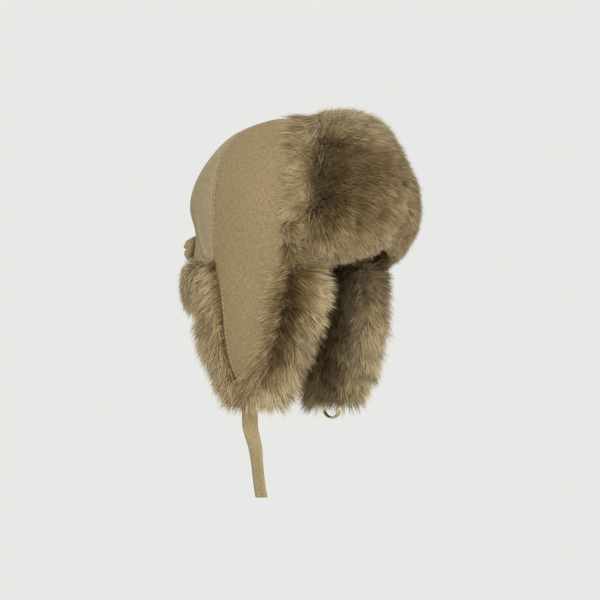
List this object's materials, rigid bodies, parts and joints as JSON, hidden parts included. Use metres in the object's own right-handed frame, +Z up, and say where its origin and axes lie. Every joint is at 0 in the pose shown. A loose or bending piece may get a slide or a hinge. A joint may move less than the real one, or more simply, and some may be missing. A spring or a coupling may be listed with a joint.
{
  "type": "ushanka fur-trimmed trapper hat",
  "caption": "Linen trapper hat with a folded-up fur forehead flap, fur-lined ear flaps hanging down, a nape roll of fur, a chin strap and strap rings.",
  "frame": {"origin": "middle of the head opening, level with the crown's lower edge at the temples, where a head holds the hat", "axes": "+Z up, -Y towards the wearer's face, -X towards the wearer's right"},
  "size_m": [0.196, 0.2584, 0.3968],
  "materials": {
    "linen": "matte",
    "fur": "matte",
    "ring_metal": "polished"
  },
  "bodies": {
    "root": {"right_side_panel": "linen", "left_side_panel": "linen", "back_panel": "linen", "front_flap_fur": "fur", "right_flap_fur": "fur", "left_flap_fur": "fur", "nape_fur": "fur", "back_tie": "linen", "chin_strap": "linen", "ring_tab": "linen", "strap_ring_1": "ring_metal", "strap_ring_2": "ring_metal"}
  },
  "joints": []
}
